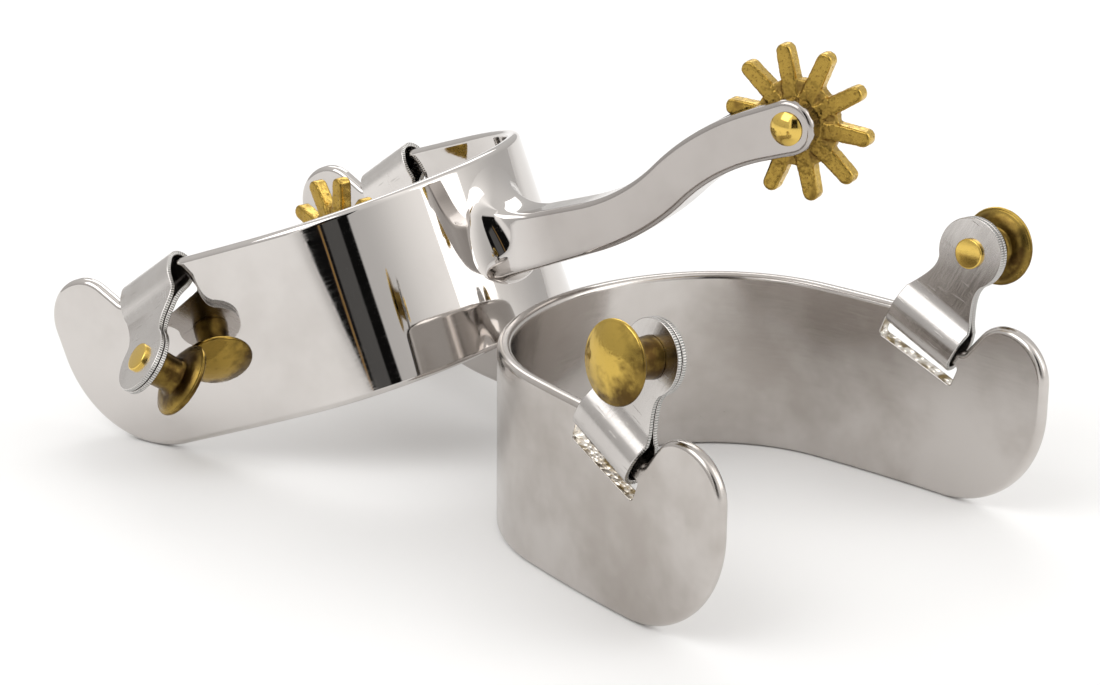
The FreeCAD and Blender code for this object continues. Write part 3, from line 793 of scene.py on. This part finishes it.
def rivet(key, material):
    """Flat head with a rounded rim on the back of the leaves, and the shaft into the button."""
    seat = LEAF_GAP / 2 + LEAF_THICK
    outer = -seat - RIVET_HEAD_HEIGHT
    radius, rim, deep = RIVET_HEAD_RADIUS, RIVET_HEAD_ROUND, seat + RIVET_DEPTH
    profile = chain(
        [(outer - 0.12, 0), (outer - 0.06, radius * 0.5), (outer, radius - rim)],
        arc_points((outer, radius - rim), (outer + rim, radius), 0.1, 7),
        [(outer + rim, radius), (-seat, radius), (-seat, RIVET_RADIUS), (deep, RIVET_RADIUS), (deep, 0)],
    )
    return lathe(key + "_rivet_turned", profile, strap_axis(key), material, 72)


# ---------------- hanger

def strap_half_line():
    """Middle line of one leaf in (x, z), from the bottom of the fold up, evenly spaced."""
    mid = LOOP_INNER + LEAF_THICK / 2
    close = (LEAF_GAP + LEAF_THICK) / 2
    turns = np.linspace(0, np.pi / 2, 60)
    fold = np.stack([mid * np.sin(turns), -mid * np.cos(turns)], 1)
    start, end = np.array([mid, LOOP_STRAIGHT]), np.array([close, LOOP_CLOSED])
    ease = np.array([0, (LOOP_CLOSED - LOOP_STRAIGHT) * LOOP_EASE])
    bend = cubic(start, start + ease, end - ease, end, 80)
    top = np.array([[close, HANGER_REACH + HANGER_DISC + 3]])
    line = np.concatenate([fold, bend, top])
    steps = np.concatenate([[0], np.cumsum(np.linalg.norm(np.diff(line, axis=0), axis=1))])
    runs = np.linspace(0, steps[-1], 600)
    return runs, np.interp(runs, steps, line[:, 0]), np.interp(runs, steps, line[:, 1])


STRAP_LINE = strap_half_line()


def strap_run(z):
    """Run from the bottom of the fold at which a leaf reaches height z."""
    return float(np.interp(z, STRAP_LINE[2], STRAP_LINE[0]))


def hanger_loops():
    """Outline of the unrolled strap, a dog bone with a rivet hole in each disc."""
    half = HANGER_WIDTH / 2
    turn = math.radians(DISC_START)
    shoulder = np.array([strap_run(HANGER_SHOULDER), half])
    centre = np.array([strap_run(HANGER_REACH), 0.0])
    start = centre + HANGER_DISC * np.array([math.sin(turn), math.cos(turn)])
    flare_point = np.array([strap_run(HANGER_SHOULDER + WAIST_EASE), half - WAIST_DRAW])
    neck = np.array([strap_run(HANGER_NECK), HANGER_NECK_HALF])
    waist = cubic(shoulder, flare_point, neck, start, 26)
    turns = np.linspace(turn, math.pi / 2, 34)[1:]
    disc = centre + HANGER_DISC * np.stack([np.sin(turns), np.cos(turns)], 1)
    straight = np.stack([np.linspace(0, shoulder[0], 24)[:-1], np.full(23, half)], 1)
    upper = np.concatenate([straight, waist, disc])
    quarter = np.concatenate([upper[::-1], (upper * [-1, 1])[1:]])
    whole = np.concatenate([quarter, (quarter * [1, -1])[1:-1][::-1]])
    loops = [traced_outline(whole)]
    return loops + [circle_hole((side * centre[0], 0.0), RIVET_RADIUS + RIVET_FIT, 40) for side in (1, -1)]


def hanger(key, material):
    """Blanked strip folded round the bar, its two leaves closing above it."""
    carry = moved(strap_matrix(key))
    runs, xs, zs = STRAP_LINE

    def place(u, v, h):
        side = np.where(u < 0, -1.0, 1.0)
        at = np.abs(u)
        x, z = np.interp(at, runs, xs), np.interp(at, runs, zs)
        step = STRAP_STEP
        dx = np.interp(at + step, runs, xs) - np.interp(at - step, runs, xs)
        dz = np.interp(at + step, runs, zs) - np.interp(at - step, runs, zs)
        low = at < step
        dx = np.where(low, 1.0, dx)
        dz = np.where(low, 0.0, dz)
        size = np.hypot(dx, dz)
        return carry(np.stack([side * (x + h * dz / size), v, z - h * dx / size], 1))

    rounds = [HANGER_ROUND, HOLE_ROUND, HOLE_ROUND]
    return plate(key + "_hanger_strap", hanger_loops(), rounds, STRAP_SPACING, even(LEAF_THICK), place,
                 material)


# ---------------- rowel

def weather(piece, seed, depth, scale):
    """Small dents and lumps worn into a mesh, in millimetres; scale is their size."""
    co, no = mesh_points(piece)
    offset = Vector((sum(map(ord, seed)) % 97, 3.0, 7.0))
    shift = [noise.fractal(Vector(point) + offset, 0.6, 2.1, 3) for point in co / MM / scale]
    set_points(piece, co + no * (np.array(shift) * depth * MM)[:, None])


def remeshed(piece, size, passes):
    """Even voxel mesh of a piece, its edges softened."""
    remesh = piece.modifiers.new("remesh", "REMESH")
    remesh.mode = "VOXEL"
    remesh.voxel_size = size * MM
    soften = piece.modifiers.new("soften", "SMOOTH")
    soften.factor = 0.5
    soften.iterations = passes
    settle(piece)


def mesh_points(piece):
    """Positions and normals of a mesh's vertices."""
    mesh = piece.data
    co, no = np.zeros(len(mesh.vertices) * 3), np.zeros(len(mesh.vertices) * 3)
    mesh.vertices.foreach_get("co", co)
    mesh.vertex_normals.foreach_get("vector", no)
    return co.reshape(-1, 3), no.reshape(-1, 3)


def own_points(piece, matrix):
    """Positions of a mesh's vertices in a frame of its own."""
    return moved(matrix.inverted())(mesh_points(piece)[0])


def set_points(piece, points):
    """Moves a mesh's vertices."""
    piece.data.vertices.foreach_set("co", points.ravel())
    piece.data.update()


def tooth_thickness(size):
    """Share of the hub's thickness at a distance from the rowel's middle."""
    return 1 - TOOTH_THIN * fade(size, *THIN_OVER)


def cast_teeth(name, points):
    """Widens and thins the CAD teeth to the cast ones; points are round the rowel's middle."""
    pitch = 2 * math.pi / ROWEL_TEETH
    first = math.radians(180 - ROWEL_PHASE[name])
    angle = np.arctan2(points[:, 2], points[:, 0])
    tooth = first + np.round((angle - first) / pitch) * pitch
    size = np.hypot(points[:, 0], points[:, 2])
    along, aside = size * np.cos(angle - tooth), size * np.sin(angle - tooth)
    aside = aside * (1 + (TOOTH_WIDEN - 1) * fade(size, *WIDEN_OVER))
    made = points.copy()
    made[:, 0] = along * np.cos(tooth) - aside * np.sin(tooth)
    made[:, 2] = along * np.sin(tooth) + aside * np.cos(tooth)
    made[:, 1] *= tooth_thickness(size)
    return made


def rowel(name, material):
    """Cast rowel: the CAD rowel's solid remeshed finely, its edges softened and its faces pitted."""
    made = bpy.data.objects.new(name + "_rowel_cast", frame["nodes"][name + "_rowel"].data.copy())
    bpy.context.scene.collection.objects.link(made)
    weld = made.modifiers.new("weld", "WELD")
    weld.merge_threshold = 1e-6
    remeshed(made, CAST_FIRST_VOXEL, 1)
    middle = pin_frame(name)
    set_points(made, moved(middle)(cast_teeth(name, own_points(made, middle))))
    remeshed(made, CAST_VOXEL, CAST_SMOOTHING)
    made.data.shade_smooth()
    co, no = mesh_points(made)
    own = own_points(made, middle)
    radius = np.hypot(own[:, 0], own[:, 2])
    across = np.abs(own[:, 1]) / tooth_thickness(radius)
    lumps = np.array([noise.fractal(Vector(point) * 0.8, 0.7, 2.0, 3) for point in own])
    pits = np.array([max(0.0, noise.noise(Vector(point) * 2.6) - 0.33) for point in own])
    everywhere, near_hub = LUMP_DEPTHS
    depth = (everywhere + near_hub * fade(radius, 9.8, -1.5)) * lumps - PIT_DEPTH * pits
    set_points(made, co + no * (depth * fade(radius, 2.6, 0.6) * MM)[:, None])
    web = 0.9 * fade(across, 2.0, -0.5) * fade(radius, 10.0, -2.0)
    hub = 0.45 * fade(radius, 11.0, -6.0)
    mark(made, "tarnish_and_shade", np.maximum(np.maximum(web, hub), np.clip(pits * 5, 0, 0.7)))
    # Painted highlight: the teeth's side walls are marked for a lighter brass.
    mark(made, "side", fade(across, 1.75, -0.3))
    made.data.materials.clear()
    made.data.materials.append(material)
    return made


# ---------------- materials
# Lengths in bumps are metres, and noise scales are per metre or, on a UV map, per millimetre.

class Graph:
    """A node tree with short calls for the sums that the materials and the world are made of."""

    def __init__(self, tree):
        self.tree = tree

    def add(self, kind, **inputs):
        node = self.tree.nodes.new(kind)
        for key, value in inputs.items():
            node.inputs[key.replace("_", " ")].default_value = value
        return node

    def link(self, source, socket):
        self.tree.links.new(source, socket)

    def coordinates(self, *kinds):
        node = self.add("ShaderNodeTexCoord")
        return [node.outputs[kind] for kind in kinds]

    def attribute(self, key):
        node = self.add("ShaderNodeAttribute")
        node.attribute_name = key
        return node.outputs["Fac"]

    def noise(self, vector, scale, detail, rough):
        node = self.add("ShaderNodeTexNoise", Scale=scale, Detail=detail, Roughness=rough)
        self.link(vector, node.inputs["Vector"])
        return node.outputs["Fac"]

    def stretched(self, source, *scale):
        node = self.add("ShaderNodeMapping", Scale=(*scale, 1.0))
        self.link(source, node.inputs["Vector"])
        return node.outputs["Vector"]

    def spread(self, value, low, high, out_low=0.0, out_high=1.0):
        """Maps a range of a value to another, smoothly and clamped."""
        node = self.add("ShaderNodeMapRange", From_Min=low, From_Max=high, To_Min=out_low, To_Max=out_high)
        node.interpolation_type = "SMOOTHSTEP"
        self.link(value, node.inputs["Value"])
        return node.outputs["Result"]

    def panel(self, value, start, end, soft):
        """One inside a range of a value, falling to nothing over a soft margin at both ends."""
        return self.times(self.spread(value, start - soft, start + soft),
                          self.spread(value, end - soft, end + soft, 1.0, 0.0))

    def mixed(self, share, first, second):
        """Colour mix by a share; first and second are colours or sockets."""
        node = self.add("ShaderNodeMix")
        node.data_type = "RGBA"
        self.link(share, node.inputs["Factor"])
        for key, value in (("A", first), ("B", second)):
            socket = next(s for s in node.inputs if s.name == key and s.type == "RGBA")
            if isinstance(value, tuple):
                socket.default_value = (*value, 1)
            else:
                self.link(value, socket)
        return next(s for s in node.outputs if s.type == "RGBA")

    def maths(self, operation, *values):
        node = self.add("ShaderNodeMath")
        node.operation = operation
        for socket, value in zip(node.inputs, values):
            if isinstance(value, (int, float)):
                socket.default_value = value
            else:
                self.link(value, socket)
        return node.outputs[0]

    def times(self, first, second):
        return self.maths("MULTIPLY", first, second)

    def larger(self, first, second):
        return self.maths("MAXIMUM", first, second)

    def sum(self, first, *others):
        for other in others:
            first = self.maths("ADD", first, other)
        return first

    def bump(self, height, strength, distance, before=None):
        node = self.add("ShaderNodeBump", Strength=strength, Distance=distance)
        self.link(height, node.inputs["Height"])
        if before:
            self.link(before, node.inputs["Normal"])
        return node.outputs["Normal"]


def new_material(name, colour, roughness, metallic=1.0):
    """Material with one shader: the material, its graph and the shader's inputs."""
    material = bpy.data.materials.new(name)
    material.use_nodes = True
    inputs = material.node_tree.nodes["Principled BSDF"].inputs
    inputs["Base Color"].default_value = (*colour, 1)
    inputs["Roughness"].default_value = roughness
    inputs["Metallic"].default_value = metallic
    return material, Graph(material.node_tree), inputs


def polished_steel(name, colour, stain, rough, waves, root=None):
    """Polished stainless: cloudy polish, faint lines along the strip, soft waves, torn slot walls.

    root is the colour and roughness that the shank blends to where it joins the band.
    """
    material, graph, inputs = new_material(name, colour, rough[0])
    body, uv = graph.coordinates("Object", "UV")
    cloud = graph.noise(body, 22.0, 5.0, 0.62)
    smudge = graph.noise(body, 110.0, 5.0, 0.7)
    lines = graph.noise(graph.stretched(uv, 0.10, 3.2), 1.0, 4.0, 0.65)
    hairs = graph.noise(graph.stretched(uv, 0.16, 0.9), 1.0, 6.0, 0.75)
    wall = graph.attribute("wall")
    stained = graph.mixed(graph.spread(cloud, 0.42, 0.70), colour, stain)
    rust = graph.spread(graph.noise(body, 400.0, 2.0, 0.5), 0.36, 0.6)
    base = graph.mixed(wall, stained, graph.mixed(rust, (0.22, 0.16, 0.07), (0.78, 0.74, 0.68)))
    polish = graph.spread(cloud, 0.3, 0.7, *rough)
    if root:
        near = graph.attribute("root")
        base = graph.mixed(near, base, root[0])
        far = graph.maths("SUBTRACT", 1.0, near)
        polish = graph.sum(graph.times(polish, far), graph.times(near, root[1]))
    graph.link(base, inputs["Base Color"])
    streak = graph.spread(lines, 0.35, 0.75, -0.02, 0.04)
    patch = graph.spread(smudge, 0.5, 0.75, 0.0, 0.05)
    scratch = graph.spread(hairs, 0.60, 0.66, 0.0, 0.03)
    graph.link(graph.sum(polish, streak, patch, scratch), inputs["Roughness"])
    flake = graph.add("ShaderNodeTexVoronoi", Scale=750.0)
    graph.link(body, flake.inputs["Vector"])
    normal = graph.bump(graph.noise(body, 50.0, 1.0, 0.4), waves, 0.0006)
    normal = graph.bump(lines, 0.02, 0.00004, normal)
    normal = graph.bump(graph.times(flake.outputs["Distance"], wall), 0.6, 0.0004, normal)
    graph.link(normal, inputs["Normal"])
    return material


SHEAR_WAVES = 2 * math.pi / 0.5  # shear marks 0.5 mm apart round a strap's cut edge


def strap_steel(name, bright, dull):
    """Blanked strip: satin faces with a few scuffs, and fine shear marks round its cut edge."""
    material, graph, inputs = new_material(name, bright, 0.24)
    body, uv = graph.coordinates("Object", "UV")
    lines = graph.noise(graph.stretched(uv, 0.12, 2.2), 1.0, 3.0, 0.55)
    scuffs = graph.noise(graph.stretched(uv, 2.4, 0.16), 1.0, 1.0, 0.5)
    cloud = graph.noise(body, 60.0, 3.0, 0.5)
    grain = graph.noise(body, 160.0, 3.0, 0.5)
    marks = graph.spread(scuffs, 0.68, 0.74)
    wave = graph.maths("SINE", graph.times(graph.attribute("along"), SHEAR_WAVES))
    ribs = graph.times(graph.maths("MULTIPLY_ADD", wave, 0.5), graph.attribute("edge"))
    base = graph.mixed(graph.spread(cloud, 0.4, 0.75), bright, dull)
    base = graph.mixed(graph.times(ribs, 0.8), base, (0.13, 0.15, 0.14))
    base = graph.mixed(graph.times(marks, 0.35), base, (0.26, 0.24, 0.22))
    graph.link(base, inputs["Base Color"])
    satin = graph.sum(graph.spread(lines, 0.3, 0.7, 0.17, 0.24), graph.spread(grain, 0.4, 0.8, 0.0, 0.06))
    graph.link(satin, inputs["Roughness"])
    normal = graph.bump(lines, 0.03, 0.00005)
    normal = graph.bump(marks, 0.3, 0.00008, normal)
    normal = graph.bump(ribs, 0.6, 0.0001, normal)
    graph.link(normal, inputs["Normal"])
    return material


def brass(name, bright, dark, patches, rough, grain, depth, flecks, side=None):
    """Brass with brown tarnish: soft patches, small flecks and the piece's marked darkening, which is tarnish in
    the rowel's hollows and tarnish with painted shade on the buttons.

    patches is the range of noise that makes patches; side is a lighter colour painted on a casting's side walls as
    a highlight.
    """
    material, graph, inputs = new_material(name, bright, rough[0])
    body, = graph.coordinates("Object")
    cloud = graph.noise(body, 240.0, 6.0, 0.6)
    specks = graph.spread(graph.noise(body, 1300.0, 3.0, 0.6), 0.6, 0.7)
    share = graph.larger(graph.times(graph.spread(cloud, *patches), 0.6), graph.times(specks, flecks))
    # The marked darkening: tarnish, and on the buttons also painted shade on one side of the face.
    hollow = graph.times(graph.attribute("tarnish_and_shade"), graph.spread(cloud, 0.32, 0.62, 0.70, 1.0))
    share = graph.larger(share, hollow)
    # Painted highlight: the marked side walls take the lighter side colour.
    clean = graph.mixed(graph.attribute("side"), bright, side) if side else bright
    graph.link(graph.mixed(share, clean, dark), inputs["Base Color"])
    graph.link(graph.spread(share, 0.0, 1.0, *rough), inputs["Roughness"])
    graph.link(graph.bump(graph.noise(body, grain, 5.0, 0.6), 0.5, depth), inputs["Normal"])
    return material


def floor_material():
    material, graph, inputs = new_material("floor", (0.9, 0.9, 0.9), 0.6, 0.0)
    body, = graph.coordinates("Object")
    cloud = graph.spread(graph.noise(body, 6.0, 2.0, 0.5), 0.3, 0.7)
    graph.link(graph.mixed(cloud, (0.93, 0.93, 0.93), (0.91, 0.91, 0.91)), inputs["Base Color"])
    inputs["Specular IOR Level"].default_value = 0.2
    return material


# ---------------- camera, light and floor

CAMERA_PLACE = (0.42056, -0.40050, 0.23742)
CAMERA_RIGHT = (0.68049, 0.73272, 0.00811)
CAMERA_DOWN = (0.25501, -0.22643, -0.94005)
CAMERA_AHEAD = (-0.68695, 0.64176, -0.34094)
LENS_PER_WIDTH = 2.7074  # focal length over sensor width
SENSOR = 36.0
LIGHT_AIM = (-0.02, 0, 0.03)
FLOOR_HALF = 4.0

# The studio tent. Levels are radians round it from the doorway's middle: start, end, softness.
DOORWAY_FACING = math.radians(-43.6)
DOORWAY = (-0.235, 0.31, 0.012)
STAND = (0.02, 0.19, 0.01)
LAMP = (-0.03, -0.012, 0.006)
HALO = (-0.40, -0.25, 0.03)
BRIGHT_WALL = (0.85, 1.75, 0.45)
DOORWAY_TOP = (0.62, 0.72, 1.0, 0.0)  # heights between which it ends
STAND_TOP = (0.30, 0.34, 1.0, 0.0)
TENT_LIGHT = (-0.1, 0.9, 0.60, 0.85)  # strength rises with height
WALL_LIGHT, HALO_LIGHT = 0.62, 0.45
DARKNESS, STAND_LIGHT, LAMP_LIGHT = 0.006, 0.10, 0.35
TENT_COLOUR, LAMP_COLOUR = (1.0, 0.985, 0.965), (1.0, 0.55, 0.12)


def make_camera():
    data = bpy.data.cameras.new("camera")
    data.sensor_width = SENSOR
    data.lens = LENS_PER_WIDTH * SENSOR
    data.clip_start = 0.01
    camera = bpy.data.objects.new("camera", data)
    up, back = -Vector(CAMERA_DOWN), -Vector(CAMERA_AHEAD)
    turn = Matrix((Vector(CAMERA_RIGHT), up, back)).transposed().to_4x4()
    turn.translation = Vector(CAMERA_PLACE)
    camera.matrix_world = turn
    bpy.context.scene.collection.objects.link(camera)
    bpy.context.scene.camera = camera


def area_light(name, azimuth, elevation, distance, size, power):
    """Soft box on a sphere round the object, aimed at its middle."""
    a, e = math.radians(azimuth), math.radians(elevation)
    aim = Vector(LIGHT_AIM)
    place = aim + distance * Vector((math.cos(e) * math.cos(a), math.cos(e) * math.sin(a), math.sin(e)))
    data = bpy.data.lights.new(name, "AREA")
    data.shape = "RECTANGLE"
    data.size, data.size_y = size
    data.energy = power
    light = bpy.data.objects.new(name, data)
    light.matrix_world = (aim - place).to_track_quat("-Z", "Y").to_matrix().to_4x4()
    light.location = place
    bpy.context.scene.collection.objects.link(light)


def make_world():
    """White studio tent: its dark doorway is where the camera stands, with a bright wall beside it."""
    world = bpy.data.worlds.new("studio")
    bpy.context.scene.world = world
    world.use_nodes = True
    graph = Graph(world.node_tree)
    background = world.node_tree.nodes["Background"].inputs
    split = graph.add("ShaderNodeSeparateXYZ")
    graph.link(*graph.coordinates("Generated"), split.inputs[0])
    x, y, z = split.outputs
    c, s = math.cos(DOORWAY_FACING), math.sin(DOORWAY_FACING)
    ahead = graph.sum(graph.times(x, c), graph.times(y, s))
    across = graph.sum(graph.times(x, -s), graph.times(y, c))
    level = graph.maths("ARCTAN2", across, ahead)
    doorway = graph.times(graph.panel(level, *DOORWAY), graph.spread(z, *DOORWAY_TOP))
    stand = graph.times(graph.panel(level, *STAND), graph.spread(z, *STAND_TOP))
    lamp = graph.times(graph.panel(level, *LAMP), graph.spread(z, *STAND_TOP))
    tent = graph.sum(graph.spread(z, *TENT_LIGHT),
                     graph.times(graph.panel(level, *BRIGHT_WALL), WALL_LIGHT),
                     graph.times(graph.panel(level, *HALO), HALO_LIGHT))
    inside = graph.sum(graph.times(stand, STAND_LIGHT), DARKNESS, graph.times(lamp, LAMP_LIGHT))
    outside = graph.times(tent, graph.maths("SUBTRACT", 1.0, doorway))
    graph.link(graph.sum(outside, graph.times(doorway, inside)), background["Strength"])
    graph.link(graph.mixed(graph.times(lamp, doorway), TENT_COLOUR, LAMP_COLOUR), background["Color"])


def make_floor():
    low, size = cad_box[0][2], FLOOR_HALF
    points = [(-size, -size, low), (size, -size, low), (size, size, low), (-size, size, low)]
    make_mesh("floor", points, [(0, 1, 2, 3)], floor_material())


# ---------------- the object

def main():
    make_camera()
    scene = bpy.context.scene
    scene.view_settings.view_transform = "Standard"
    make_world()
    make_floor()
    area_light("key", -95, 48, 1.2, (0.9, 0.7), 4.2)
    area_light("fill", 35, 30, 1.3, (0.6, 0.9), 2.0)
    area_light("back", 140, 40, 1.3, (1.0, 0.5), 3.0)

    steel = {
        "lower": polished_steel("polished_steel_lower", (0.59, 0.56, 0.535), (0.43, 0.395, 0.365),
                                rough=(0.13, 0.23), waves=0.12),
        "upper": polished_steel("polished_steel_upper", (0.63, 0.602, 0.58), (0.55, 0.522, 0.498),
                                rough=(0.02, 0.045), waves=0.08),
    }
    shank_steel = {
        "lower": polished_steel("shank_steel_lower", (0.50, 0.472, 0.45), (0.41, 0.38, 0.355),
                                rough=(0.13, 0.22), waves=0.10, root=((0.57, 0.54, 0.515), 0.14)),
        "upper": polished_steel("shank_steel_upper", (0.465, 0.435, 0.415), (0.39, 0.36, 0.34),
                                rough=(0.10, 0.19), waves=0.08, root=((0.63, 0.602, 0.58), 0.035)),
    }
    strap = {
        "lower": strap_steel("strap_steel_lower", (0.60, 0.575, 0.555), (0.51, 0.485, 0.465)),
        "upper": strap_steel("strap_steel_upper", (0.70, 0.672, 0.65), (0.63, 0.602, 0.58)),
    }
    # The cast brass's side colour is a painted highlight on the rowel's side walls.
    cast = brass("cast_brass", (0.40, 0.262, 0.055), (0.13, 0.07, 0.02), patches=(0.48, 0.78),
                 rough=(0.27, 0.50), grain=1000.0, depth=0.00008, flecks=0.22, side=(0.66, 0.45, 0.11))
    turned = brass("turned_brass", (0.58, 0.40, 0.09), (0.075, 0.042, 0.012), patches=(0.60, 0.85),
                   rough=(0.13, 0.34), grain=700.0, depth=0.00002, flecks=0.12)
    bright = brass("polished_brass", (0.76, 0.53, 0.13), (0.38, 0.23, 0.05), patches=(0.58, 0.85),
                   rough=(0.13, 0.28), grain=500.0, depth=0.00003, flecks=0.3)

    for name in SPURS:
        body = name + "_spur"
        fit(heel_band(name, steel[name]), body, name + "_heel_band")
        fit(shank(name, shank_steel[name]), body, name + "_shank")
        fit(rowel_pin(name, bright), body, name + "_rowel_pin")
        fit(rowel(name, cast), name + "_rowel_wheel", name + "_rowel")
        for side in ("left", "right"):
            key = name + "_" + side
            fit(hanger(key, strap[name]), key + "_strap", key + "_hanger")
            fit(button(key, turned), key + "_strap", key + "_button")
            fit(rivet(key, bright), key + "_strap", key + "_rivet")


def fit(piece, body, node):
    """A finished piece takes the place of its CAD node."""
    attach(piece, body)
    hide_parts(node)


main()
